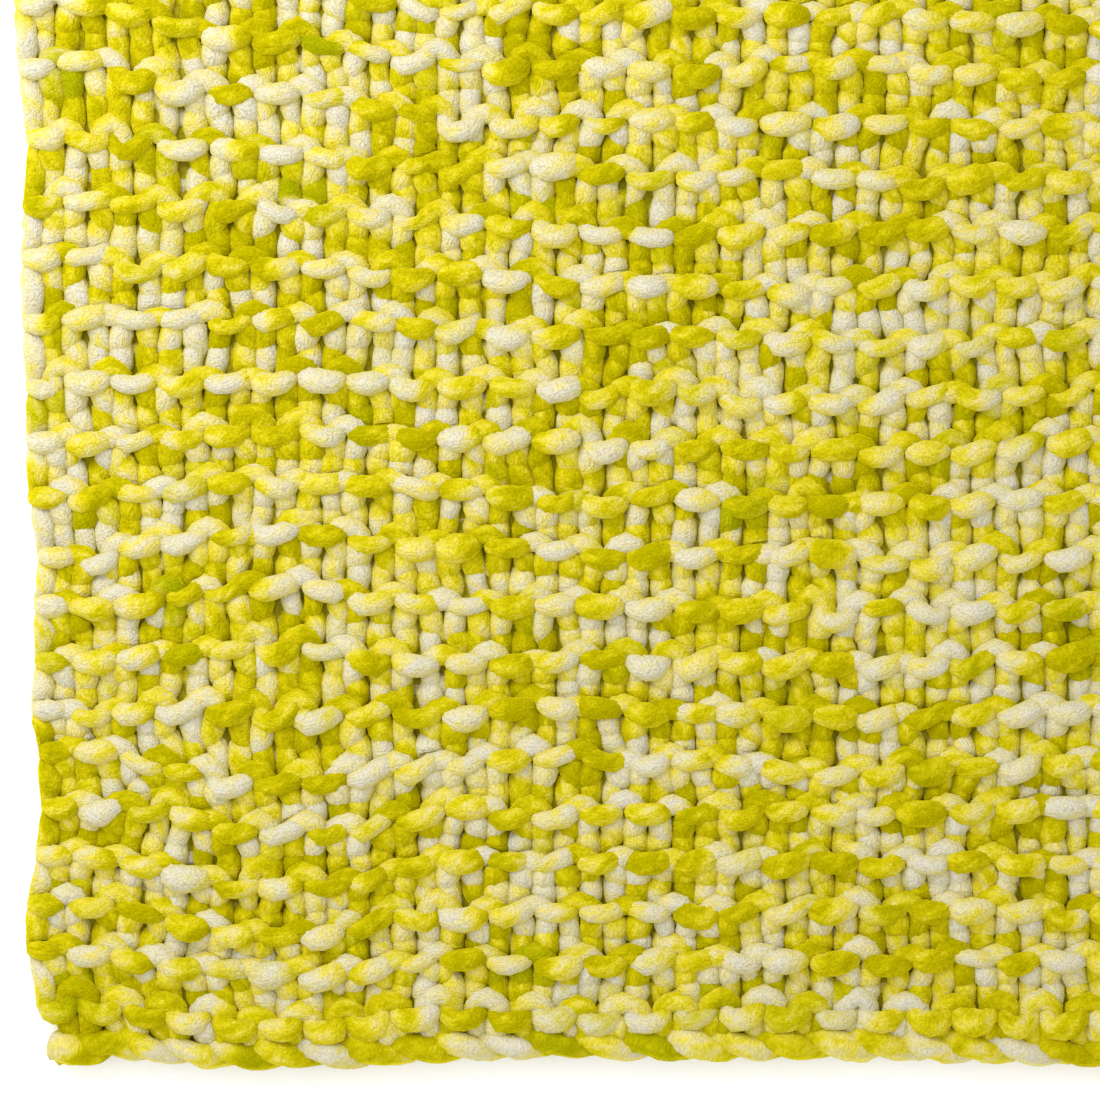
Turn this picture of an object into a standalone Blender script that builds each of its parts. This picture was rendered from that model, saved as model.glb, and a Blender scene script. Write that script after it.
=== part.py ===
"""A chunky garter-stitch knit blanket, laid flat on its back.

The cloth is one closed solid. Its top face carries the raised garter ridges, each row drifting
up and down as a hand-knit row does, its two side edges swell a little at every ridge, and its
two ends are scalloped by the cast-on and the bind-off chain. Its underside is flat, where the
blanket lies on the surface. The single stitches are too many to raise here.

Frame: X runs across the stitches, Y runs up the rows from the cast-on edge, Z is up.
The origin is at the middle of the footprint, on the surface that the blanket lies on.
"""

import math

import bmesh
import bpy
import numpy as np
from mathutils import Vector

NAME = "knit_cloth"

# The knitting, in stitches across, in garter ridges up, and in metres
STITCHES = 52
RIDGES = 45
STITCH_PITCH = 0.0135
RIDGE_PITCH = 0.0155
TIGHT_RIDGE_PITCH = 0.0143
TIGHT_RIDGES = 8
CHAIN_TO_RIDGE = 0.0098
EDGE_TO_CHAIN = 0.0060

# The cloth's thickness at the crest of a ridge, between two ridges, and at the chained ends
CREST_HEIGHT = 0.0138
VALLEY_HEIGHT = 0.0102
END_HEIGHT = 0.0082
SIDE_HEIGHT = 0.0092

# The rounded rim, and the swell of one ridge or one chain stitch on the outline
RIM_ROUND = 0.0026
RIDGE_SWELL = 0.0012
CHAIN_SWELL = 0.0013
CORNER_PULL = 0.0042
CORNER_REACH = 1.3

# How the mesh is laid out
STITCHES_PER_COLUMN = 4
STEPS_PER_RIDGE = 4
STEPS_PER_CHAIN_STITCH = 3

# How far a row has drifted up, in metres. Each line is one ridge, counted from the cast-on
# edge, and each column a stitch of that ridge, counted from the left edge.
DRIFT_STITCHES = (0.8, 4.8, 9.0, 13.3, 17.6, 21.8, 34.0, 52.0)
ROW_DRIFT = {
    0: (0.0010, 0.0000, 0.0000, 0.0000, 0.0000, 0.0000, 0.0000, 0.0000),
    1: (0.0034, -0.0032, 0.0000, 0.0000, 0.0000, 0.0000, 0.0010, 0.0000),
    4: (0.0014, -0.0083, 0.0000, 0.0000, 0.0000, 0.0000, 0.0020, -0.0020),
    6: (0.0020, -0.0055, 0.0000, 0.0000, -0.0006, 0.0000, 0.0010, -0.0020),
    8: (0.0011, 0.0034, 0.0000, 0.0011, -0.0011, 0.0009, 0.0000, 0.0010),
    10: (0.0006, 0.0063, 0.0014, 0.0000, 0.0000, 0.0000, -0.0020, 0.0030),
    13: (0.0032, 0.0046, 0.0034, 0.0006, -0.0026, 0.0006, -0.0030, 0.0010),
    16: (0.0083, 0.0055, 0.0020, 0.0000, 0.0009, 0.0000, -0.0010, -0.0030),
    19: (0.0190, 0.0086, 0.0017, 0.0000, 0.0000, -0.0023, 0.0020, -0.0030),
    24: (0.0150, 0.0080, 0.0030, 0.0000, -0.0020, -0.0020, 0.0030, 0.0020),
    31: (0.0040, 0.0030, 0.0010, -0.0020, -0.0020, 0.0000, 0.0000, 0.0030),
    39: (-0.0010, 0.0000, 0.0010, 0.0010, 0.0000, 0.0000, -0.0020, 0.0000),
    46: (0.0000, 0.0000, 0.0000, 0.0000, 0.0000, 0.0000, 0.0000, 0.0000),
}

# How far each side edge lies inwards of its straight line, in metres, by ridge
SIDE_RIDGES = (-0.5, 0, 1, 3, 7, 10, 13, 16, 20, 27, 34, 41, 46)
LEFT_INSET = (
    0.0077, 0.0072, 0.0052, -0.0009, 0.0011, 0.0012, -0.0011, -0.0023, -0.0046,
    -0.0020, 0.0012, -0.0010, 0.0020,
)
RIGHT_INSET = (
    0.0030, 0.0022, 0.0010, -0.0010, 0.0006, 0.0020, 0.0010, -0.0012, -0.0016,
    0.0010, 0.0022, 0.0002, 0.0020,
)
INSET_FADE = 3.0

CLOTH_COLOUR = (0.72, 0.68, 0.10, 1.0)


def eased(value, stations, heights):
    """Reads a table of heights with a level tangent at each station."""
    value = np.clip(value, stations[0], stations[-1])
    low = np.clip(np.searchsorted(stations, value, side="right") - 1, 0, len(stations) - 2)
    start = np.take(stations, low)
    share = (value - start) / (np.take(stations, low + 1) - start)
    share = 0.5 - 0.5 * np.cos(math.pi * share)
    return np.take(heights, low) * (1 - share) + np.take(heights, low + 1) * share


def row_height(ridge):
    """The height up the cloth of a ridge, before it drifts. Ridge -0.5 is the cast-on edge."""
    last = RIDGES
    first_wide = EDGE_TO_CHAIN + CHAIN_TO_RIDGE + (TIGHT_RIDGES - 1) * TIGHT_RIDGE_PITCH
    last_height = first_wide + (last - TIGHT_RIDGES) * RIDGE_PITCH
    stations = (-0.5, 0, 1, TIGHT_RIDGES, last, last + 1, last + 1.5)
    heights = (
        0.0,
        EDGE_TO_CHAIN,
        EDGE_TO_CHAIN + CHAIN_TO_RIDGE,
        first_wide,
        last_height,
        last_height + CHAIN_TO_RIDGE,
        last_height + CHAIN_TO_RIDGE + EDGE_TO_CHAIN,
    )
    return float(np.interp(ridge, stations, heights))


def row_drift(stitch, ridge):
    ridges = tuple(ROW_DRIFT)
    across = [eased(stitch, DRIFT_STITCHES, ROW_DRIFT[key]) for key in ridges]
    return float(eased(ridge, ridges, across))


def place(stitch, ridge):
    """The place on the surface of one stitch of one ridge, from the lower left corner."""
    left = eased(ridge, SIDE_RIDGES, LEFT_INSET) * math.exp(-stitch / INSET_FADE)
    right = eased(ridge, SIDE_RIDGES, RIGHT_INSET) * math.exp((stitch - STITCHES) / INSET_FADE)
    x = stitch * STITCH_PITCH + left - right
    y = row_height(ridge) + row_drift(stitch, ridge)
    return float(x), y


def top_height(stitch, ridge):
    """The height of the top face: a round crest along each ridge, lower along all four edges."""
    crest = 0.5 + 0.5 * math.cos(2 * math.pi * ridge)
    height = VALLEY_HEIGHT + (CREST_HEIGHT - VALLEY_HEIGHT) * crest
    to_end = min(ridge + 0.5, RIDGES + 1.5 - ridge)
    if to_end < 1:
        height = END_HEIGHT + (height - END_HEIGHT) * math.sin(to_end * math.pi / 2)
    if stitch in (0, STITCHES):
        height = SIDE_HEIGHT + (height - SIDE_HEIGHT) * 0.5
    return height


def swell(stitch, ridge):
    """How far the outline stands proud where a ridge or a chain stitch ends on it."""
    at_end = ridge <= -0.5 or ridge >= RIDGES + 1.5
    at_side = stitch in (0, STITCHES)
    if at_end and at_side:
        return -CORNER_PULL
    if at_end:
        return CHAIN_SWELL * math.cos(2 * math.pi * (stitch - 0.5))
    return RIDGE_SWELL * math.cos(2 * math.pi * ridge)


def round_corner(x, y, width, length):
    """Draws the four corners in, so that each ends in a round lobe."""
    reach = CORNER_REACH * STITCH_PITCH
    for corner_x, inward_x in ((0.0, 1), (width, -1)):
        for corner_y, inward_y in ((0.0, 1), (length, -1)):
            near_x = max(0.0, 1 - abs(x - corner_x) / reach)
            near_y = max(0.0, 1 - abs(y - corner_y) / reach)
            pull = CORNER_PULL * near_x * near_y
            x += inward_x * pull
            y += inward_y * pull
    return x, y


def boundary_loop(bm):
    """The boundary's points in order, anticlockwise seen from above."""
    edges = [edge for edge in bm.edges if edge.is_boundary]
    beside = {}
    for edge in edges:
        for vert in edge.verts:
            beside.setdefault(vert, []).append(edge.other_vert(vert))
    start = min(beside, key=lambda vert: (vert.co.x + vert.co.y))
    loop = [start, max(beside[start], key=lambda vert: vert.co.x - vert.co.y)]
    while loop[-1] is not start:
        onward = [vert for vert in beside[loop[-1]] if vert is not loop[-2]]
        loop.append(onward[0])
    return loop[:-1]


def outward(loop, index):
    before = loop[index - 1].co
    after = loop[(index + 1) % len(loop)].co
    along = (after - before).normalized()
    return Vector((along.y, -along.x, 0.0)).normalized()


def add_ring(bm, ring, places):
    """Adds a ring of points below the given one and joins the two with faces."""
    new_ring = [bm.verts.new(place_of) for place_of in places]
    count = len(ring)
    for i in range(count):
        j = (i + 1) % count
        bm.faces.new((ring[i], new_ring[i], new_ring[j], ring[j]))
    return new_ring


def build_cloth():
    bm = bmesh.new()
    columns = STITCHES // STITCHES_PER_COLUMN
    rows = (RIDGES + 2) * STEPS_PER_RIDGE
    bmesh.ops.create_grid(bm, x_segments=columns, y_segments=rows, size=0.5)

    end_edges = [
        edge
        for edge in bm.edges
        if edge.is_boundary and all(abs(abs(vert.co.y) - 0.5) < 1e-6 for vert in edge.verts)
    ]
    cuts = STITCHES_PER_COLUMN * STEPS_PER_CHAIN_STITCH - 1
    bmesh.ops.subdivide_edges(bm, edges=end_edges, cuts=cuts)

    # The grid's square becomes stitches across and ridges up, then places on the surface
    knit = {}
    for vert in bm.verts:
        stitch = round((vert.co.x + 0.5) * STITCHES, 4)
        ridge = round(-0.5 + (vert.co.y + 0.5) * (RIDGES + 2), 4)
        knit[vert] = (stitch, ridge)
    width = STITCHES * STITCH_PITCH
    length = row_height(RIDGES + 1.5)
    for vert, (stitch, ridge) in knit.items():
        x, y = place(stitch, ridge)
        x = RIM_ROUND + x * (width - 2 * RIM_ROUND) / width
        y = RIM_ROUND + y * (length - 2 * RIM_ROUND) / length
        x, y = round_corner(x, y, width, length)
        vert.co = Vector((x, y, top_height(stitch, ridge)))

    # The rim runs out to the outline and back in to the flat underside
    top_ring = boundary_loop(bm)
    normals = [outward(top_ring, i) for i in range(len(top_ring))]
    outline = []
    underside = []
    for vert, normal in zip(top_ring, normals):
        reach = RIM_ROUND + swell(*knit[vert])
        middle = vert.co + normal * reach
        middle.z = vert.co.z * 0.5
        outline.append(middle)
        below = vert.co + normal * (reach - RIM_ROUND)
        below.z = 0.0
        underside.append(below)
    middle_ring = add_ring(bm, top_ring, outline)
    low_ring = add_ring(bm, middle_ring, underside)
    bm.faces.new(low_ring[::-1])
    bmesh.ops.recalc_face_normals(bm, faces=bm.faces)

    # The origin goes to the middle of the footprint
    xs = [vert.co.x for vert in bm.verts]
    ys = [vert.co.y for vert in bm.verts]
    middle = Vector(((min(xs) + max(xs)) / 2, (min(ys) + max(ys)) / 2, 0.0))
    bmesh.ops.translate(bm, verts=bm.verts, vec=-middle)

    mesh = bpy.data.meshes.new(NAME)
    bm.to_mesh(mesh)
    bm.free()
    return mesh


def cloth_material():
    material = bpy.data.materials.new("chenille_yarn")
    material.use_nodes = True
    shader = material.node_tree.nodes["Principled BSDF"]
    shader.inputs["Base Color"].default_value = CLOTH_COLOUR
    shader.inputs["Roughness"].default_value = 0.9
    shader.inputs["Metallic"].default_value = 0.0
    return material


def main():
    for old in list(bpy.data.objects):
        bpy.data.objects.remove(old, do_unlink=True)
    collection = bpy.data.collections.new("knit_blanket")
    bpy.context.scene.collection.children.link(collection)
    mesh = build_cloth()
    mesh.materials.append(cloth_material())
    mesh.shade_smooth()
    mesh.set_sharp_from_angle(angle=math.radians(50))
    collection.objects.link(bpy.data.objects.new(NAME, mesh))


main()
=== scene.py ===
"""The looks of a chunky garter-stitch knit blanket that lies flat.

The yarn is modelled loop by loop. One stitch is a short table of points, which a smooth curve
joins. Every stitch of every row takes that curve, mirrored front to back on every other row,
which is garter stitch. The rows then drift, tilt and thicken unevenly, as in a hand knit, and
one thick chenille yarn runs along them and turns at each side edge.

A course is one row of stitches here, and a ridge is two courses. A place on the cloth is
counted in stitches across, from the left edge, and in ridges up, from the chain of the lower
edge, which is ridge 0.
"""

import math

import bpy
import numpy as np
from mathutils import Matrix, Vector


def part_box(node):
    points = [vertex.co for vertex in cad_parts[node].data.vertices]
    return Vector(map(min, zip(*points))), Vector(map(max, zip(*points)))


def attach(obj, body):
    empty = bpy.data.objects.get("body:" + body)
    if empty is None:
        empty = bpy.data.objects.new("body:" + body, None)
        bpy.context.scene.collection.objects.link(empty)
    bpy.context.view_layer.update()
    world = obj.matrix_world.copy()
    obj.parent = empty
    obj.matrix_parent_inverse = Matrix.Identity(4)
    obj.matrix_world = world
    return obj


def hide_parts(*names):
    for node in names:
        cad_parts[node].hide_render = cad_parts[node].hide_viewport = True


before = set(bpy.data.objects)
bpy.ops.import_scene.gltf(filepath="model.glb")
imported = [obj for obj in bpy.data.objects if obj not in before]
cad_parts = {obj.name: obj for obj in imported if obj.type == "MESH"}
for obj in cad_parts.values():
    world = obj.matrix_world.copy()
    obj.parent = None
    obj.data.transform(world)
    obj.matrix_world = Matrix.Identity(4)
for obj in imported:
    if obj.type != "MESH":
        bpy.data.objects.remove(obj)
cad_low, cad_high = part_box("knit_cloth")
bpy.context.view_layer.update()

# The knitting, in stitches across, in garter ridges up, and in metres: the same as the solid's
STITCHES = 52
RIDGES = 45
COURSES = 2 * RIDGES + 1
STITCH_PITCH = 0.0135
RIDGE_PITCH = 0.0155
TIGHT_RIDGE_PITCH = 0.0143
TIGHT_RIDGES = 8
CHAIN_TO_RIDGE = 0.0098
EDGE_TO_CHAIN = 0.0060

# How far a row has drifted up, in metres. Each line is one ridge, and each column a stitch of
# that ridge. The line of ridge 0 is the only one that differs from the solid's.
DRIFT_STITCHES = (0.8, 4.8, 9.0, 13.3, 17.6, 21.8, 34.0, 52.0)
ROW_DRIFT = {
    0: (-0.0005, -0.0022, 0.0003, 0.0010, 0.0014, -0.0014, 0.0000, 0.0000),
    1: (0.0034, -0.0032, 0.0000, 0.0000, 0.0000, 0.0000, 0.0010, 0.0000),
    4: (0.0014, -0.0083, 0.0000, 0.0000, 0.0000, 0.0000, 0.0020, -0.0020),
    6: (0.0020, -0.0055, 0.0000, 0.0000, -0.0006, 0.0000, 0.0010, -0.0020),
    8: (0.0011, 0.0034, 0.0000, 0.0011, -0.0011, 0.0009, 0.0000, 0.0010),
    10: (0.0006, 0.0063, 0.0014, 0.0000, 0.0000, 0.0000, -0.0020, 0.0030),
    13: (0.0032, 0.0046, 0.0034, 0.0006, -0.0026, 0.0006, -0.0030, 0.0010),
    16: (0.0083, 0.0055, 0.0020, 0.0000, 0.0009, 0.0000, -0.0010, -0.0030),
    19: (0.0190, 0.0086, 0.0017, 0.0000, 0.0000, -0.0023, 0.0020, -0.0030),
    24: (0.0150, 0.0080, 0.0030, 0.0000, -0.0020, -0.0020, 0.0030, 0.0020),
    31: (0.0040, 0.0030, 0.0010, -0.0020, -0.0020, 0.0000, 0.0000, 0.0030),
    39: (-0.0010, 0.0000, 0.0010, 0.0010, 0.0000, 0.0000, -0.0020, 0.0000),
    46: (0.0000, 0.0000, 0.0000, 0.0000, 0.0000, 0.0000, 0.0000, 0.0000),
}

# How far each side edge is drawn in, in metres, at some ridges. The left edge is drawn more
# closely than the solid's. The inset fades inwards, over some stitches.
SIDE_RIDGES = (-0.5, 0, 1, 2, 3, 5, 7, 10, 13, 16, 20, 27, 34, 41, 46)
LEFT_INSET = (
    0.0066, 0.0058, 0.0026, -0.0008, 0.0000, 0.0040, -0.0003, 0.0010, -0.0018, -0.0013,
    -0.0056, -0.0020, 0.0012, -0.0010, 0.0020,
)
RIGHT_INSET = (
    0.0030, 0.0022, 0.0010, 0.0000, -0.0010, -0.0002, 0.0006, 0.0020, 0.0010, -0.0012,
    -0.0016, 0.0010, 0.0022, 0.0002, 0.0020,
)
INSET_FADE = 3.0

# The room, in metres, that the yarn's turns take beside the stitches, and where the turns take
# over from a course, in stitches from its end
EDGE_ROOM = 0.0043
TURN_START = 0.12

# One half of a loop, from the middle of the strand between two stitches up to the loop's head.
# Columns: share of a stitch across, metres up the row, metres towards the front, yarn radius.
HALF_LOOP = (
    (-0.500, 0.0000, -0.0038, 0.0032),
    (-0.330, 0.0001, -0.0037, 0.0032),
    (-0.208, 0.0006, -0.0029, 0.0029),
    (-0.163, 0.0018, -0.0008, 0.0030),
    (-0.212, 0.0035, 0.0006, 0.0035),
    (-0.246, 0.0053, 0.0009, 0.0037),
    (-0.254, 0.0073, 0.0003, 0.0036),
    (-0.242, 0.0090, 0.0007, 0.0034),
    (-0.145, 0.0104, 0.0016, 0.0032),
    (0.000, 0.0109, 0.0019, 0.0032),
)
# The height in that table that makes one ridge
ROW_STEP = 0.0150

# The yarn's turn at a side edge: metres outwards, up from the front strand, frontwards, radius.
# It dives behind the end of its ridge, shows as an upright bar, and tucks behind the next ridge.
SIDE_TURN = (
    (0.0025, 0.0000, 0.0037, 0.0033),
    (0.0042, 0.0004, 0.0020, 0.0031),
    (0.0045, 0.0022, -0.0004, 0.0029),
    (0.0042, 0.0050, 0.0006, 0.0031),
    (0.0039, 0.0078, 0.0012, 0.0033),
    (0.0040, 0.0106, 0.0006, 0.0033),
    (0.0040, 0.0134, -0.0008, 0.0032),
    (0.0028, 0.0150, -0.0034, 0.0030),
    (0.0005, 0.0118, -0.0046, 0.0030),
)

# The two chained edges: name, ridge, metres up. Each is two strands twisted round each other,
# and reaches over the ends of its row by a part of a stitch.
CHAINED_EDGES = (("cast_on_edge", 0, 0.0004), ("bind_off_edge", RIDGES + 1, -0.0004))
ROPE_RADIUS = 0.0037
ROPE_UNEVEN = 0.09
ROPE_UP = 0.0014
ROPE_OUT = 0.0022
ROPE_OVERHANG = 0.30
ROPE_SAMPLES = 8
ROPE_UNEVEN_STITCHES = 1.0
ROPE_WANDER = 0.0003
ROPE_WANDER_STITCHES = 1.3
ROPE_WANDER_LINE = 3.0
# How far the lower edge rises by its corner: stitches, metres
CORNER_STITCHES = (0.0, 0.7, 1.3, 1.9, 3.0)
CORNER_RISE = (0.0000, 0.0000, 0.0030, 0.0010, 0.0000)

# How finely the yarn's tube is made, in samples a stitch and in sides. It is finest in the lower
# left corner, which the camera sees.
FINE_STITCHES = 24
FINE_SAMPLES = 18
FINE_SIDES = 10
PLAIN_SAMPLES = 9
PLAIN_SIDES = 8
# The samples are taken from a curve with this many points from knot to knot. A bend counts for
# this length, in metres, when they are shared out.
CURVE_STEPS = 24
BEND_WEIGHT = 0.0025
# The courses are split into this many pieces, and the first few of them hold the fine corner
BANDS = 15
FINE_BANDS = 7
FINE_COURSES = COURSES * FINE_BANDS // BANDS

# How uneven the strands, heads and legs are: radians of lean, metres, and shares of a radius
LEAN_MEAN = 0.12
LEAN_SPREAD = 0.16
STRAND_RISE = 0.0008
STRAND_LIFT = 0.00025
STRAND_SHIFT = 0.0005
HEAD_RISE = 0.0010
LEG_SHIFT = 0.0006
RADIUS_SPREAD = 0.13
LEG_RADIUS_SPREAD = 0.7 * RADIUS_SPREAD
# How far along the yarn that reaches, and how far a leg is from its head, in shares of a stitch
STRAND_REACH = 0.27
HEAD_REACH = 0.22
LEG_REACH = 0.2
LEG_PLACE = 0.25

# The close rows at the lower edge are fuller, and the first two courses settle onto the chain
TIGHT_FULLNESS = 0.03
FIRST_COURSE_DROP = 0.0052
FIRST_COURSE_HEIGHT = 0.009
SECOND_COURSE_DROP = 0.0042
SECOND_COURSE_FULLNESS = 0.04

# The cloth as a whole wanders and swells, in metres, over some stitches
WANDER = 0.0007
WANDER_STITCHES = 1.6
SWELL = 0.0003
SWELL_STITCHES = 5.0

# The yarn's surface: slow bulges along it, and small lumps, as shares of its radius
BULGE = 0.055
BULGE_LENGTH = 0.0045
LUMPS = 0.030

# The dye along the yarn: weights of long and short stretches, their lengths, and how much the
# stretches of neighbouring stitches agree
LONG_DYE = 0.9
LONG_DYE_LENGTH = 0.016
SHORT_DYE = 0.35
SHORT_DYE_LENGTH = 0.007
DYE_CONTRAST = 0.72
POOLING = 0.36
POOL_STITCHES = 0.9
SHADE_LENGTH = 0.040
# The pile's pattern is laid on a cylinder of this radius, and the blotches turn once round the
# yarn in this length
PILE_RADIUS = 0.003
TURN_LENGTH = 0.042
PILE_TWIST = 2 * math.pi / TURN_LENGTH

# Seeds of the random draws
COURSE_SEED = 1000
ACROSS_SEED = 5
UP_SEED = 6
SWELL_SEED = 7
WEB_SEED = 9
POOL_SEED = 23
LUMP_SEED = 77
ROPE_SEED = 31
ROPE_PIECE_SEED = 5000
SEED_STEP = 100
LONG_DYE_SEED = 11
SHORT_DYE_SEED = 12
SHADE_SEED = 15
BULGE_SEED = 41

# The noise over the cloth has this reach, in stitches, and stays inside its grid's rim. The gains
# bring the spread of both noises to about 1.
NOISE_REACH = 70
LATTICE_MARGIN = 1.5
LATTICE_END = 2.001
LATTICE_GAIN = 1.3
LINE_GAIN = 1.25

# The map for baking: the yarn is cut into strips, laid in rows, with the tubes' caps above them.
# The guard keeps the yarn's very end in the last row.
BAKE_ROWS = 28
STRIP_START = 0.01
STRIP_SPAN = 0.97
STRIP_MARGIN = 0.05
STRIP_FILL = 0.9
LAST_ROW_GUARD = 0.9999
CAP_SPOT_START = 0.02
CAP_SPOT_STEP = 0.04
CAP_SPOT_RADIUS = 0.01

# The sheet of painted shade in the openings: its ends in stitches and in ridges, then height and
# unevenness in metres
WEB_ACROSS = (0.25, STITCHES - 0.25)
WEB_UP = (0.2, RIDGES + 0.8)
WEB_HEIGHT = -0.0008
WEB_UNEVEN = 0.0003
WEB_UNEVEN_STITCHES = 1.0

# The dye, from undyed to full strength: share, colour
DYE_STOPS = (
    (0.00, (0.548, 0.516, 0.410)),
    (0.20, (0.573, 0.520, 0.314)),
    (0.40, (0.603, 0.519, 0.154)),
    (0.56, (0.596, 0.505, 0.043)),
    (0.72, (0.502, 0.428, 0.0036)),
    (1.00, (0.332, 0.289, 0.0002)),
)
# A few stretches are greener: the colour, and the shade where it begins and where it is full
GREENER = (0.240, 0.262, 0.001)
GREENER_FROM = 0.9
GREENER_TO = 3.4

# The dye starts here, and the blotches, the tufts and their tips add to it. Below them are the
# scales of their patterns, in periods to the metre: along the yarn, to its side, to its front.
DYE_START = -0.605
DYE_FROM_BLOTCH = 0.95
DYE_FROM_TUFT = 0.20
DYE_FROM_TIPS = 0.10
BLOTCH_SCALE = (230.0, 330.0, 330.0)
TUFT_SCALE = (1100.0, 1100.0, 1100.0)
TUFTS_PER_METRE = 1700.0

# Painted light on the tufts, a painted highlight at each tip and painted shade in the gaps:
# distance from the tip, and the colour's factor there
TIP_DISTANCE = 0.1
GAP_DISTANCE = 0.8
TIP_PAINTED_HIGHLIGHT = 1.08
GAP_PAINTED_SHADE = 0.80

# The painted shade in the openings and the floor: the two colours, and the scale of the mottle
# between them
OPENING_SHADE_DARK = (0.220, 0.188, 0.003)
OPENING_SHADE_LIGHT = (0.340, 0.295, 0.016)
OPENING_SHADE_SCALE = 600.0
FLOOR_DARK = (0.97, 0.97, 0.97)
FLOOR_LIGHT = (0.98, 0.98, 0.98)
FLOOR_SCALE = 2.0
ROUGHNESS = 0.95

# The camera looks straight down at the lower left corner, as in the photograph: its pixels, and
# those where the cloth's left edge and lower edge lie
PHOTO_PIXELS = 1100
METRES_PER_PIXEL = 0.0002872
PHOTO_LEFT_EDGE = 30
PHOTO_LOW_EDGE = 1069
CAMERA_HEIGHT = 1.5
TOP_OF_YARN = 0.012
SENSOR_WIDTH = 36.0

# The floor's half width, how far it lies below the yarn, and the light from all round
FLOOR_HALF = 4
FLOOR_DROP = 0.0002
SKY_STRENGTH = 1.15


def between(value, stations):
    """For each value, the station below it and the eased share of the way to the next."""
    stations = np.asarray(stations, float)
    value = np.clip(value, stations[0], stations[-1])
    low = np.clip(np.searchsorted(stations, value, side="right") - 1, 0, len(stations) - 2)
    share = (value - stations[low]) / (stations[low + 1] - stations[low])
    return low, 0.5 - 0.5 * np.cos(math.pi * share)


def eased(value, stations, heights):
    """The height at each value, eased from each station to the next."""
    heights = np.asarray(heights, float)
    low, share = between(value, stations)
    return heights[low] * (1 - share) + heights[low + 1] * share


def row_height(ridge):
    """The height up the cloth of a ridge, before it drifts. Ridge -0.5 is the cast-on edge."""
    first_wide = EDGE_TO_CHAIN + CHAIN_TO_RIDGE + (TIGHT_RIDGES - 1) * TIGHT_RIDGE_PITCH
    last_height = first_wide + (RIDGES - TIGHT_RIDGES) * RIDGE_PITCH
    stations = (-0.5, 0, 1, TIGHT_RIDGES, RIDGES, RIDGES + 1, RIDGES + 1.5)
    heights = (
        0.0,
        EDGE_TO_CHAIN,
        EDGE_TO_CHAIN + CHAIN_TO_RIDGE,
        first_wide,
        last_height,
        last_height + CHAIN_TO_RIDGE,
        last_height + CHAIN_TO_RIDGE + EDGE_TO_CHAIN,
    )
    return np.interp(ridge, stations, heights)


WIDTH = STITCHES * STITCH_PITCH


def row_drift(stitch, ridge):
    """How far up the cloth has drifted at stitches and ridges."""
    ridges = tuple(ROW_DRIFT)
    across = np.stack([eased(stitch, DRIFT_STITCHES, ROW_DRIFT[key]) for key in ridges])
    low, share = between(ridge, ridges)
    point = np.arange(len(ridge))
    return across[low, point] * (1 - share) + across[low + 1, point] * share


def place(stitch, ridge):
    """The place on the cloth of stitches and ridges, in metres from the lower left corner."""
    left = eased(ridge, SIDE_RIDGES, LEFT_INSET) * np.exp(-stitch / INSET_FADE)
    right = eased(ridge, SIDE_RIDGES, RIGHT_INSET) * np.exp((stitch - STITCHES) / INSET_FADE)
    pitch = (WIDTH - 2 * EDGE_ROOM) / STITCHES
    x = EDGE_ROOM + stitch * pitch + left - right
    y = row_height(ridge) + row_drift(stitch, ridge)
    return x, y


def smooth(share):
    """Shares from 0 to 1, with a soft start and a soft end."""
    return share**2 * (3 - 2 * share)


def lattice_noise(u, v, spacing, seed):
    """Smooth noise over the cloth, of mean 0 and spread about 1."""
    size = int(NOISE_REACH / spacing) + 4
    grid = np.random.default_rng(seed).standard_normal((size, size))
    a = np.clip(np.asarray(u, float) / spacing + LATTICE_MARGIN, 0, size - LATTICE_END)
    b = np.clip(np.asarray(v, float) / spacing + LATTICE_MARGIN, 0, size - LATTICE_END)
    i = a.astype(int)
    j = b.astype(int)
    s = smooth(a - i)
    t = smooth(b - j)
    low = grid[i, j] * (1 - s) + grid[i + 1, j] * s
    high = grid[i, j + 1] * (1 - s) + grid[i + 1, j + 1] * s
    return (low * (1 - t) + high * t) * LATTICE_GAIN


def line_noise(along, spacing, seed):
    """Smooth noise along the yarn, of mean 0 and spread about 1."""
    values = np.random.default_rng(seed).standard_normal(int(along.max() / spacing) + 3)
    a = along / spacing
    i = a.astype(int)
    s = smooth(a - i)
    return (values[i] * (1 - s) + values[i + 1] * s) * LINE_GAIN


def curve_through(knots):
    """Close points on a smooth curve through all knots but the two at each end."""
    gaps = np.linalg.norm(np.diff(knots[:, :3], axis=0), axis=1) ** 0.5
    t = np.concatenate([[0.0], np.cumsum(gaps)])
    points = []
    for i in range(2, len(knots) - 3):
        p0, p1, p2, p3 = knots[i - 1 : i + 3]
        t0, t1, t2, t3 = t[i - 1 : i + 3]
        for u in np.linspace(t1, t2, CURVE_STEPS, endpoint=False):
            a1 = ((t1 - u) * p0 + (u - t0) * p1) / (t1 - t0)
            a2 = ((t2 - u) * p1 + (u - t1) * p2) / (t2 - t1)
            a3 = ((t3 - u) * p2 + (u - t2) * p3) / (t3 - t2)
            b1 = ((t2 - u) * a1 + (u - t0) * a2) / (t2 - t0)
            b2 = ((t3 - u) * a2 + (u - t1) * a3) / (t3 - t1)
            points.append(((t2 - u) * b1 + (u - t1) * b2) / (t2 - t1))
    return np.array(points)


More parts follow.
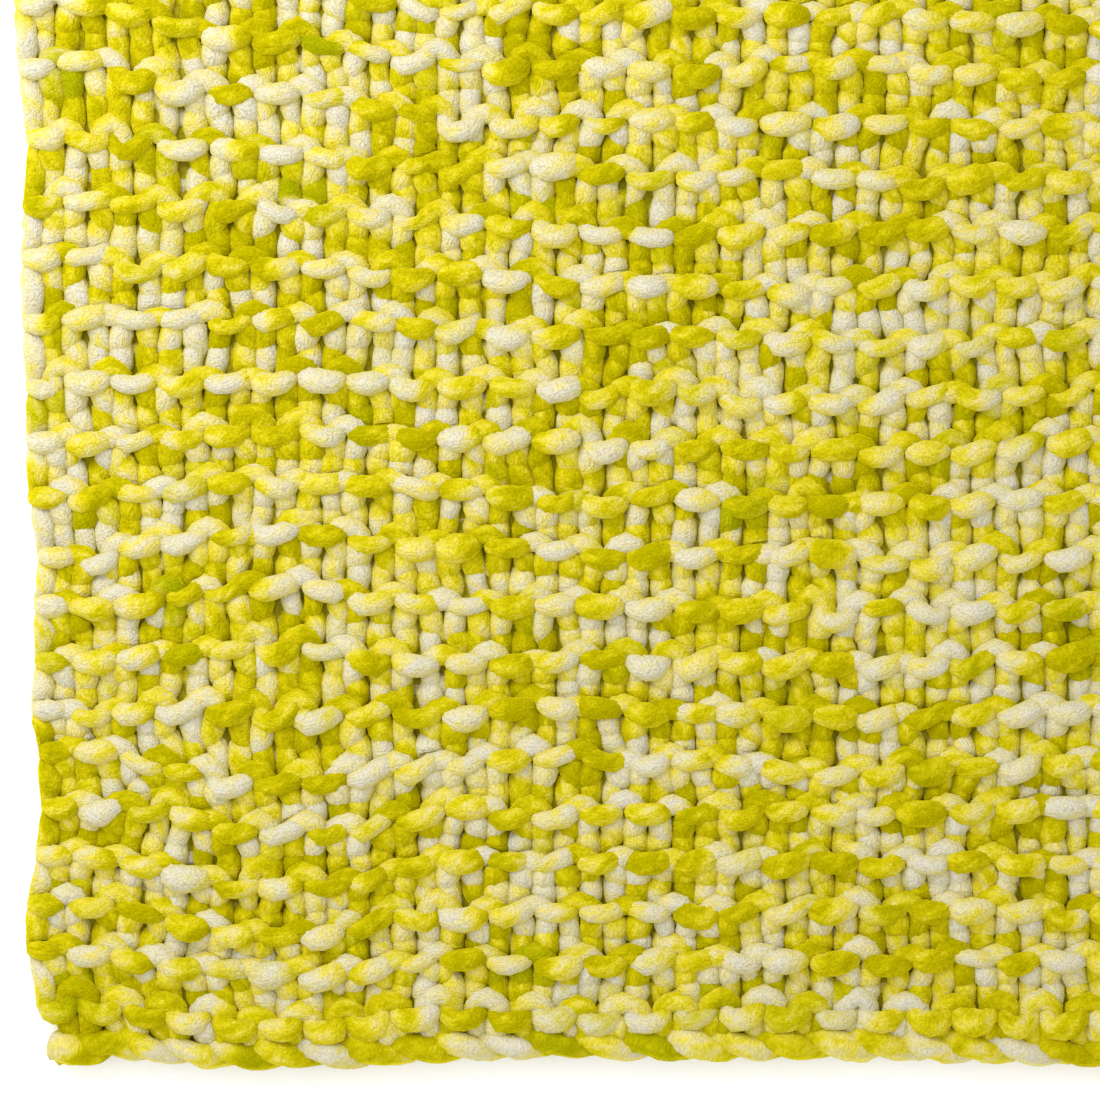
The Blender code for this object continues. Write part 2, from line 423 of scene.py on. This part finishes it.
def loop_curve(samples):
    """Points along one stitch as rows of across, up, front and radius, closer where it bends."""
    half = np.array(HALF_LOOP)
    half[:, 0] *= STITCH_PITCH
    mirrored = (half * (-1, 1, 1, 1))[::-1][1:-1]
    knots = np.vstack([half, mirrored])
    step = np.array((STITCH_PITCH, 0, 0, 0))
    knots = np.vstack([knots[-2:] - step, knots, knots[:3] + step])
    fine = curve_through(knots)
    fine = np.vstack([fine, fine[:1] + step])
    move = np.diff(fine[:, :3], axis=0)
    length = np.linalg.norm(move, axis=1)
    heading = move / length[:, None]
    turn = np.linalg.norm(heading - np.roll(heading, 1, axis=0), axis=1)
    effort = np.concatenate([[0.0], np.cumsum(length + BEND_WEIGHT * turn)])
    at = np.linspace(0, effort[-1], samples + 1)[:-1]
    return np.stack([np.interp(at, effort, fine[:, k]) for k in range(4)], axis=1)


def course_unevenness(course):
    """The tilt, place and thickness of each strand, head and leg of a course."""
    own = np.random.default_rng(COURSE_SEED + course)
    strands = STITCHES + 1
    legs = (STITCHES, 2)
    return {
        "lean": LEAN_MEAN + LEAN_SPREAD * own.standard_normal(strands),
        "rise": STRAND_RISE * own.standard_normal(strands),
        "lift": STRAND_LIFT * own.standard_normal(strands),
        "shift": STRAND_SHIFT * own.standard_normal(strands) / STITCH_PITCH,
        "thick": 1 + RADIUS_SPREAD * own.standard_normal(strands),
        "head_rise": HEAD_RISE * own.standard_normal(STITCHES),
        "leg_thick": 1 + LEG_RADIUS_SPREAD * own.standard_normal(legs),
        "leg_shift": LEG_SHIFT * own.standard_normal(legs) / STITCH_PITCH,
    }


def course_path(course, fine_loop, plain_loop):
    """One course, left to right: points on the blanket and the yarn's radius."""
    fine_stitches = FINE_STITCHES if course < FINE_COURSES else 0
    loops = [fine_loop if k < fine_stitches else plain_loop for k in range(STITCHES)]
    stitch = np.concatenate([np.full(len(loop), k) for k, loop in enumerate(loops)])
    phase = np.concatenate([np.arange(len(loop)) / len(loop) for loop in loops])
    shape = np.concatenate(loops)
    front = 1 if course % 2 == 0 else -1
    across = shape[:, 0] / STITCH_PITCH + stitch + 0.5
    up = shape[:, 1]
    out = shape[:, 2] * front
    radius = shape[:, 3]

    # Each strand between two stitches, each head and each leg is a little uneven
    own = course_unevenness(course)
    strand = np.round(stitch + phase).astype(int)
    leg = (phase > 0.5).astype(int)
    near_strand = smooth(np.clip(1 - np.abs(stitch + phase - strand) / STRAND_REACH, 0, 1))
    near_head = smooth(np.clip(1 - np.abs(phase - 0.5) / HEAD_REACH, 0, 1))
    near_leg = np.clip(1 - np.abs(np.abs(phase - 0.5) - LEG_PLACE) / LEG_REACH, 0, 1)
    side = (across - strand) * STITCH_PITCH
    up = up + near_strand * (own["rise"][strand] + np.tan(own["lean"][strand]) * side)
    up = up + near_head * own["head_rise"][stitch]
    out = out - front * near_strand * own["lift"][strand]
    radius = radius * (1 + near_strand * (own["thick"][strand] - 1))
    radius = radius * (1 + near_leg * (own["leg_thick"][stitch, leg] - 1))
    radius = radius * (1 + TIGHT_FULLNESS * max(0.0, 1 - course / (2 * TIGHT_RIDGES)))
    if course == 0:
        up = up - FIRST_COURSE_DROP * np.clip(1 - up / FIRST_COURSE_HEIGHT, 0, 1)
    if course == 1:
        up = up - SECOND_COURSE_DROP * near_strand
        radius = radius * (1 + SECOND_COURSE_FULLNESS * near_strand)

    ridge = 0.5 + 0.5 * course + up / ROW_STEP
    level = 2 * ridge
    across = across + near_leg * own["leg_shift"][stitch, leg] + near_strand * own["shift"][strand]
    wander = lattice_noise(across, level, WANDER_STITCHES, ACROSS_SEED) * WANDER
    across = across + wander / STITCH_PITCH
    x, y = place(across, ridge)
    y = y + lattice_noise(across, level, WANDER_STITCHES, UP_SEED) * WANDER
    z = out + lattice_noise(across, level, SWELL_STITCHES, SWELL_SEED) * SWELL
    inside = (across > TURN_START) & (across < STITCHES - TURN_START)
    return np.stack([x, y, z, radius], axis=1)[inside]


def turn_path(rows, course):
    """The yarn's turn at a side edge after a course, between a ridge's end and its neighbour's."""
    turns_left = course % 2 == 1
    side = -1 if turns_left else 1
    end = -1 if turns_left else 0
    ridge_row = course if turns_left else course + 1
    next_row = course + 2 if turns_left else course - 1
    here = rows[ridge_row][end]
    step = np.array((0.0, -side * CHAIN_TO_RIDGE))
    if 0 < next_row < len(rows):
        step = rows[next_row][end][:2] - here[:2]
    path = []
    for out, up, front, radius in SIDE_TURN:
        share = up / RIDGE_PITCH
        x = here[0] + side * out + share * step[0]
        y = here[1] + share * step[1]
        path.append((x, y, front, radius))
    path = np.array(path)
    return path if turns_left else path[::-1]


def yarn_paths():
    """All courses as one yarn: for each band of them, its points and radii."""
    fine_loop = loop_curve(FINE_SAMPLES)
    plain_loop = loop_curve(PLAIN_SAMPLES)
    rows = [course_path(course, fine_loop, plain_loop) for course in range(COURSES)]
    # The yarn runs to the right on one course, and back to the left on the next
    rows = [row if k % 2 == 0 else row[::-1] for k, row in enumerate(rows)]
    bands = []
    for group in np.array_split(np.arange(COURSES), BANDS):
        parts = []
        for k in group:
            parts.append(rows[k])
            if k + 1 < COURSES:
                parts.append(turn_path(rows, k))
        if group[-1] + 1 < COURSES:
            parts.append(rows[group[-1] + 1][:1])
        bands.append(np.vstack(parts))
    return bands


def rope_paths(ridge, up_shift, seed):
    """The two strands of a chained edge, twisted round each other along a row."""
    count = STITCHES * ROPE_SAMPLES + 1
    stitch = np.linspace(-ROPE_OVERHANG, STITCHES + ROPE_OVERHANG, count)
    angle = stitch * math.pi
    own = lattice_noise(stitch, np.full(count, float(seed)), ROPE_UNEVEN_STITCHES, seed)
    x, y = place(stitch, np.full(count, float(ridge)))
    line = np.full(count, ROPE_WANDER_LINE)
    y = y + lattice_noise(stitch, line, ROPE_WANDER_STITCHES, seed) * ROPE_WANDER
    if ridge == 0:
        y = y + eased(stitch, CORNER_STITCHES, CORNER_RISE)
    strands = []
    for phase in (0.0, math.pi):
        up = -np.sin(angle + phase) * ROPE_UP + up_shift
        out = np.cos(angle + phase) * ROPE_OUT
        radius = ROPE_RADIUS * (1 + ROPE_UNEVEN * own)
        strands.append(np.stack([x, y + up, out, radius], axis=1))
    return strands


def ring_frames(points):
    """A pair of directions across the yarn at each point, carried along without twist."""
    heading = np.gradient(points, axis=0)
    heading /= np.linalg.norm(heading, axis=1)[:, None]
    across = np.empty_like(points)
    carried = np.array((0.0, 0.0, 1.0))
    for i, ahead in enumerate(heading):
        carried = carried - ahead * carried.dot(ahead)
        carried = carried / math.sqrt(carried.dot(carried))
        across[i] = carried
    return across, np.cross(heading, across)


def strip_map(arc, low_side, side_share, strip):
    """Where each quad of a tube lies on the bake's map."""
    row = np.floor(arc[:-1] / strip * LAST_ROW_GUARD).astype(int)
    start = STRIP_START + STRIP_SPAN * (arc[:-1] / strip - row)
    end = STRIP_START + STRIP_SPAN * (arc[1:] / strip - row)
    row_share = 1 / (BAKE_ROWS + 2)
    low = (row[:, None] + STRIP_MARGIN + STRIP_FILL * low_side[None, :]) * row_share
    high = low + STRIP_FILL * side_share * row_share
    start = np.broadcast_to(start[:, None], low.shape)
    end = np.broadcast_to(end[:, None], low.shape)
    corners = [(start, low), (start, high), (end, high), (end, low)]
    return np.stack([np.stack(corner, axis=-1) for corner in corners], axis=2).reshape(-1, 2)


def mesh_of(name, verts, quads, caps, spots):
    """A smooth mesh of quads and round caps, with its map for baking."""
    mesh = bpy.data.meshes.new(name)
    corners = np.concatenate([quads.ravel(), np.concatenate(caps)])
    sizes = np.concatenate([np.full(len(quads), 4), [len(cap) for cap in caps]])
    starts = np.concatenate([[0], np.cumsum(sizes)[:-1]])
    mesh.vertices.add(len(verts))
    mesh.vertices.foreach_set("co", verts.ravel())
    mesh.loops.add(len(corners))
    mesh.loops.foreach_set("vertex_index", corners)
    mesh.polygons.add(len(sizes))
    mesh.polygons.foreach_set("loop_start", starts)
    mesh.polygons.foreach_set("loop_total", sizes)
    layer = mesh.uv_layers.new(name="OFBake")
    layer.data.foreach_set("uv", spots.astype(np.float32).ravel())
    mesh.update(calc_edges=True)
    mesh.validate()
    mesh.shade_smooth()
    return mesh


def tube_mesh(name, tubes, sides):
    """A mesh of closed tubes. Each tube is (points, radii, arc length at each point)."""
    lumps = np.random.default_rng(LUMP_SEED)
    strip = max(float(arc[-1]) for points, radii, arc in tubes) / BAKE_ROWS
    side = np.arange(sides)
    after = (side + 1) % sides
    angle = side * 2 * math.pi / sides
    cap_circle = np.stack([np.cos(angle), np.sin(angle)], axis=1) * CAP_SPOT_RADIUS
    verts = []
    quads = []
    caps = []
    quad_spots = []
    cap_spots = []
    offset = 0
    for points, radii, arc in tubes:
        first, second = ring_frames(points)
        circle = np.cos(angle)[None, :, None] * first[:, None]
        circle = circle + np.sin(angle)[None, :, None] * second[:, None]
        lumpy = 1 + LUMPS * lumps.standard_normal((len(points), sides))
        rings = points[:, None] + (radii[:, None] * lumpy)[:, :, None] * circle
        verts.append(rings.reshape(-1, 3))
        start = offset + np.arange(len(points) - 1)[:, None] * sides
        faces = (start + side, start + after, start + sides + after, start + sides + side)
        quads.append(np.stack(np.broadcast_arrays(*faces), axis=-1).reshape(-1, 4))
        quad_spots.append(strip_map(arc, side / sides, 1 / sides, strip))
        caps.append(offset + side[::-1])
        caps.append(offset + (len(points) - 1) * sides + side)
        for cap in (0, 1):
            across = CAP_SPOT_START + CAP_SPOT_STEP * len(cap_spots)
            cap_spots.append(cap_circle + (across, 1 - 0.5 / (BAKE_ROWS + 2)))
        offset += len(points) * sides
    spots = np.concatenate(quad_spots + cap_spots)
    return mesh_of(name, np.concatenate(verts), np.concatenate(quads), caps, spots)


def add_values(mesh, name, values):
    """A value at each point of the mesh, for the material to read."""
    layer = mesh.attributes.new(name, "FLOAT", "POINT")
    layer.data.foreach_set("value", values.astype(np.float32))


def add_places(mesh, name, places):
    """A place at each point of the mesh, for the material to read."""
    layer = mesh.attributes.new(name, "FLOAT_VECTOR", "POINT")
    layer.data.foreach_set("vector", places.astype(np.float32).ravel())


def dress(name, mesh, material):
    """The mesh as a piece of the blanket."""
    mesh.materials.append(material)
    piece = bpy.data.objects.new(name, mesh)
    bpy.context.scene.collection.objects.link(piece)
    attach(piece, "root")
    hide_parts("knit_cloth")
    return piece


def make_piece(name, paths, material, sides, seed):
    """A piece of yarn along one or more paths, with its dye."""
    tubes = []
    arc_end = 0.0
    for path in paths:
        step = np.linalg.norm(np.diff(path[:, :3], axis=0), axis=1)
        arc = arc_end + np.concatenate([[0.0], np.cumsum(step)])
        arc_end = arc[-1]
        radii = path[:, 3] * (1 + BULGE * line_noise(arc, BULGE_LENGTH, seed + BULGE_SEED))
        tubes.append((path[:, :3], radii, arc))
    mesh = tube_mesh(name, tubes, sides)

    arcs = np.concatenate([arc for points, radii, arc in tubes])
    along = np.repeat(arcs, sides)
    around = np.tile(np.arange(sides) * 2 * math.pi / sides, len(arcs))
    across = np.concatenate([path[:, 0] for path in paths]) / STITCH_PITCH
    up = np.concatenate([path[:, 1] for path in paths]) / STITCH_PITCH
    pooled = np.repeat(lattice_noise(across, up, POOL_STITCHES, POOL_SEED), sides)
    dye = LONG_DYE * line_noise(along, LONG_DYE_LENGTH, seed + LONG_DYE_SEED)
    dye = dye + SHORT_DYE * line_noise(along, SHORT_DYE_LENGTH, seed + SHORT_DYE_SEED)
    dye = dye + POOLING * pooled
    add_values(mesh, "dye", 0.5 + 0.5 * np.tanh(DYE_CONTRAST * dye))
    add_values(mesh, "shade", line_noise(along, SHADE_LENGTH, seed + SHADE_SEED))
    # The seed sets each piece's pattern apart from the others'
    for label, twist in (("pile", 0.0), ("twisted", PILE_TWIST)):
        turned = around + along * twist
        side = np.cos(turned) * PILE_RADIUS
        front = np.sin(turned) * PILE_RADIUS + seed
        add_places(mesh, label, np.stack([along, side, front], axis=1))
    return dress(name, mesh, material)


def make_web(material):
    """A thin sheet inside the yarn that fills the openings between the loops, coloured as painted
    shade.
    """
    columns = STITCHES
    rows = 2 * RIDGES
    across = np.linspace(*WEB_ACROSS, columns + 1)
    up = np.linspace(*WEB_UP, rows + 1)
    u, v = [grid.ravel() for grid in np.meshgrid(across, up)]
    x, y = place(u, v)
    z = lattice_noise(u, v, WEB_UNEVEN_STITCHES, WEB_SEED) * WEB_UNEVEN + WEB_HEIGHT
    verts = np.stack([x, y, z], axis=1)
    faces = []
    for j in range(rows):
        for i in range(columns):
            a = j * (columns + 1) + i
            faces.append((a, a + 1, a + columns + 2, a + columns + 1))
    mesh = bpy.data.meshes.new("opening_shade_sheet")
    mesh.from_pydata(verts.tolist(), [], faces)
    mesh.shade_smooth()
    return dress("opening_shade_sheet", mesh, material)


def new_material(name):
    """A matt material without gloss: itself, its node tree and its shader."""
    material = bpy.data.materials.new(name)
    material.use_nodes = True
    tree = material.node_tree
    shader = tree.nodes["Principled BSDF"]
    shader.inputs["Roughness"].default_value = ROUGHNESS
    shader.inputs["Specular IOR Level"].default_value = 0.0
    return material, tree, shader


def node(tree, kind, **settings):
    """A new node of the tree, with its settings."""
    made = tree.nodes.new(kind)
    for key, value in settings.items():
        setattr(made, key, value)
    return made


def ramp(tree, stops):
    """A colour ramp. Each stop is (share, colour)."""
    made = tree.nodes.new("ShaderNodeValToRGB")
    elements = made.color_ramp.elements
    while len(elements) < len(stops):
        elements.new(0.5)
    for element, (position, colour) in zip(elements, stops):
        element.position = position
        element.color = (*colour, 1.0)
    return made


def add_bump(tree, shader, height, strength, distance):
    """The shader's bump, from a height."""
    bump = node(tree, "ShaderNodeBump")
    bump.inputs["Strength"].default_value = strength
    bump.inputs["Distance"].default_value = distance
    tree.links.new(height, bump.inputs["Height"])
    tree.links.new(bump.outputs["Normal"], shader.inputs["Normal"])


def yarn_material():
    """Chenille pile: dyed in stretches, with blotches, tufts painted lighter at their tips and
    darker between them as painted light and shade, and a soft sheen.
    """
    material, tree, shader = new_material("chenille_yarn_pile")
    link = tree.links.new
    pile = node(tree, "ShaderNodeAttribute", attribute_name="pile")
    twisted = node(tree, "ShaderNodeAttribute", attribute_name="twisted")
    dye = node(tree, "ShaderNodeAttribute", attribute_name="dye")
    shade = node(tree, "ShaderNodeAttribute", attribute_name="shade")

    def noise(space, scale, detail):
        """Noise in the yarn's own space, so that it follows the strand."""
        stretch = node(tree, "ShaderNodeMapping")
        stretch.inputs["Scale"].default_value = scale
        link(space.outputs["Vector"], stretch.inputs["Vector"])
        made = node(tree, "ShaderNodeTexNoise")
        made.inputs["Scale"].default_value = 1.0
        made.inputs["Detail"].default_value = detail
        link(stretch.outputs["Vector"], made.inputs["Vector"])
        return made.outputs["Fac"]

    def scaled_sum(value, factor, rest):
        """The value times the factor, plus the rest, which is a number or another value."""
        made = node(tree, "ShaderNodeMath", operation="MULTIPLY_ADD")
        link(value, made.inputs[0])
        made.inputs[1].default_value = factor
        if isinstance(rest, float):
            made.inputs[2].default_value = rest
        else:
            link(rest, made.inputs[2])
        return made.outputs[0]

    blotch = noise(twisted, BLOTCH_SCALE, detail=1.0)
    tuft = noise(pile, TUFT_SCALE, detail=0.0)
    tips = node(tree, "ShaderNodeTexVoronoi", feature="F1")
    tips.inputs["Scale"].default_value = TUFTS_PER_METRE
    link(pile.outputs["Vector"], tips.inputs["Vector"])
    dyed = scaled_sum(blotch, DYE_FROM_BLOTCH, DYE_START)
    dyed = scaled_sum(tuft, DYE_FROM_TUFT, dyed)
    dyed = scaled_sum(tips.outputs["Color"], DYE_FROM_TIPS, dyed)
    dyed = scaled_sum(dye.outputs["Fac"], 1.0, dyed)
    colours = ramp(tree, DYE_STOPS)
    link(dyed, colours.inputs["Fac"])

    # A few stretches of the dye are greener
    greener = node(tree, "ShaderNodeMapRange")
    greener.inputs["From Min"].default_value = GREENER_FROM
    greener.inputs["From Max"].default_value = GREENER_TO
    link(shade.outputs["Fac"], greener.inputs["Value"])
    deep = node(tree, "ShaderNodeMath", operation="MULTIPLY")
    link(greener.outputs["Result"], deep.inputs[0])
    link(dyed, deep.inputs[1])
    mixed = node(tree, "ShaderNodeMix", data_type="RGBA")
    link(deep.outputs[0], mixed.inputs["Factor"])
    link(colours.outputs["Color"], mixed.inputs["A"])
    mixed.inputs["B"].default_value = (*GREENER, 1)

    # Painted light and shade on the tufts: the colour is lighter at their tips and darker in the
    # gaps between them
    painted_tuft_light = node(tree, "ShaderNodeMapRange")
    painted_tuft_light.inputs["From Min"].default_value = TIP_DISTANCE
    painted_tuft_light.inputs["From Max"].default_value = GAP_DISTANCE
    painted_tuft_light.inputs["To Min"].default_value = TIP_PAINTED_HIGHLIGHT
    painted_tuft_light.inputs["To Max"].default_value = GAP_PAINTED_SHADE
    link(tips.outputs["Distance"], painted_tuft_light.inputs["Value"])
    tuft_painted_colour = node(tree, "ShaderNodeMix", data_type="RGBA", blend_type="MULTIPLY")
    tuft_painted_colour.inputs["Factor"].default_value = 1.0
    link(mixed.outputs["Result"], tuft_painted_colour.inputs["A"])
    link(painted_tuft_light.outputs["Result"], tuft_painted_colour.inputs["B"])
    link(tuft_painted_colour.outputs["Result"], shader.inputs["Base Color"])

    height = scaled_sum(tips.outputs["Distance"], -1.0, tuft)
    add_bump(tree, shader, height, strength=0.70, distance=0.0005)
    shader.inputs["Sheen Weight"].default_value = 0.80
    shader.inputs["Sheen Tint"].default_value = (0.92, 0.80, 0.01, 1)
    shader.inputs["Sheen Roughness"].default_value = 0.5
    return material


def mottled_material(name, dark, light, scale):
    """A matt material, mottled between two colours, with a fine bump."""
    material, tree, shader = new_material(name)
    link = tree.links.new
    space = node(tree, "ShaderNodeTexCoord")
    mottle = node(tree, "ShaderNodeTexNoise")
    mottle.inputs["Scale"].default_value = scale
    mottle.inputs["Detail"].default_value = 3.0
    link(space.outputs["Object"], mottle.inputs["Vector"])
    colours = ramp(tree, ((0.35, dark), (0.65, light)))
    link(mottle.outputs["Fac"], colours.inputs["Fac"])
    link(colours.outputs["Color"], shader.inputs["Base Color"])
    add_bump(tree, shader, mottle.outputs["Fac"], strength=0.3, distance=0.0004)
    return material


def point_places(piece):
    """The places of a piece's points, one to a line."""
    places = np.empty(len(piece.data.vertices) * 3)
    piece.data.vertices.foreach_get("co", places)
    return places.reshape(-1, 3)


def build_blanket():
    """The whole knit, set on the surface, centred where the solid is. Returns its move there."""
    material = yarn_material()
    pieces = []
    for k, path in enumerate(yarn_paths()):
        sides = FINE_SIDES if k < FINE_BANDS else PLAIN_SIDES
        pieces.append(make_piece(f"rows_{k + 1:02d}", [path], material, sides, SEED_STEP * k))
    for k, (name, ridge, up_shift) in enumerate(CHAINED_EDGES):
        paths = rope_paths(ridge, up_shift, ROPE_SEED + k)
        seed = ROPE_PIECE_SEED + SEED_STEP * k
        pieces.append(make_piece(name, paths, material, PLAIN_SIDES, seed))
    # A sheet of painted shade, darker than any dye, stands for the shaded strands seen through the
    # openings
    web = make_web(mottled_material("painted_opening_shade", OPENING_SHADE_DARK, OPENING_SHADE_LIGHT, OPENING_SHADE_SCALE))

    low = np.min([point_places(piece).min(axis=0) for piece in pieces], axis=0)
    high = np.max([point_places(piece).max(axis=0) for piece in pieces], axis=0)
    shift = (np.array(cad_low) + np.array(cad_high)) / 2 - (low + high) / 2
    shift[2] = -low[2]
    for piece in pieces + [web]:
        moved = point_places(piece) + shift
        piece.data.vertices.foreach_set("co", moved.ravel())
        piece.data.update()
    return shift


def add_light(name, at, aim, size, energy):
    """A square soft light."""
    lamp = bpy.data.lights.new(name, "AREA")
    lamp.shape = "SQUARE"
    lamp.size = size
    lamp.energy = energy
    rig = bpy.data.objects.new(name, lamp)
    rig.location = at
    rig.rotation_euler = (Vector(aim) - Vector(at)).to_track_quat("-Z", "Y").to_euler()
    bpy.context.scene.collection.objects.link(rig)


def build_studio(shift):
    """The floor, the camera and the light."""
    half = FLOOR_HALF
    corners = [(-half, -half, 0), (half, -half, 0), (half, half, 0), (-half, half, 0)]
    floor = bpy.data.meshes.new("floor")
    floor.from_pydata(corners, [], [(0, 1, 2, 3)])
    floor.materials.append(mottled_material("pale_floor", FLOOR_DARK, FLOOR_LIGHT, FLOOR_SCALE))
    floor_object = bpy.data.objects.new("floor", floor)
    floor_object.location.z = -FLOOR_DROP
    bpy.context.scene.collection.objects.link(floor_object)

    centre_x = (PHOTO_PIXELS / 2 - PHOTO_LEFT_EDGE) * METRES_PER_PIXEL + shift[0]
    centre_y = (PHOTO_LOW_EDGE - PHOTO_PIXELS / 2) * METRES_PER_PIXEL + shift[1]
    view_width = PHOTO_PIXELS * METRES_PER_PIXEL
    camera = bpy.data.cameras.new("camera")
    camera.sensor_width = SENSOR_WIDTH
    camera.lens = SENSOR_WIDTH * (CAMERA_HEIGHT - TOP_OF_YARN) / view_width
    camera_object = bpy.data.objects.new("camera", camera)
    camera_object.location = (centre_x, centre_y, CAMERA_HEIGHT)
    bpy.context.scene.collection.objects.link(camera_object)
    bpy.context.scene.camera = camera_object

    add_light("key", at=(-0.52, 0.15, 0.44), aim=(-0.25, -0.15, 0), size=0.4, energy=3.2)
    add_light("fill", at=(-0.9, -0.5, 1.7), aim=(0, 0, 0), size=1.4, energy=4)
    world = bpy.data.worlds.new("studio")
    world.use_nodes = True
    sky = world.node_tree.nodes["Background"]
    sky.inputs["Color"].default_value = (1, 1, 1, 1)
    sky.inputs["Strength"].default_value = SKY_STRENGTH
    bpy.context.scene.world = world
    bpy.context.scene.view_settings.view_transform = "Standard"


build_studio(build_blanket())
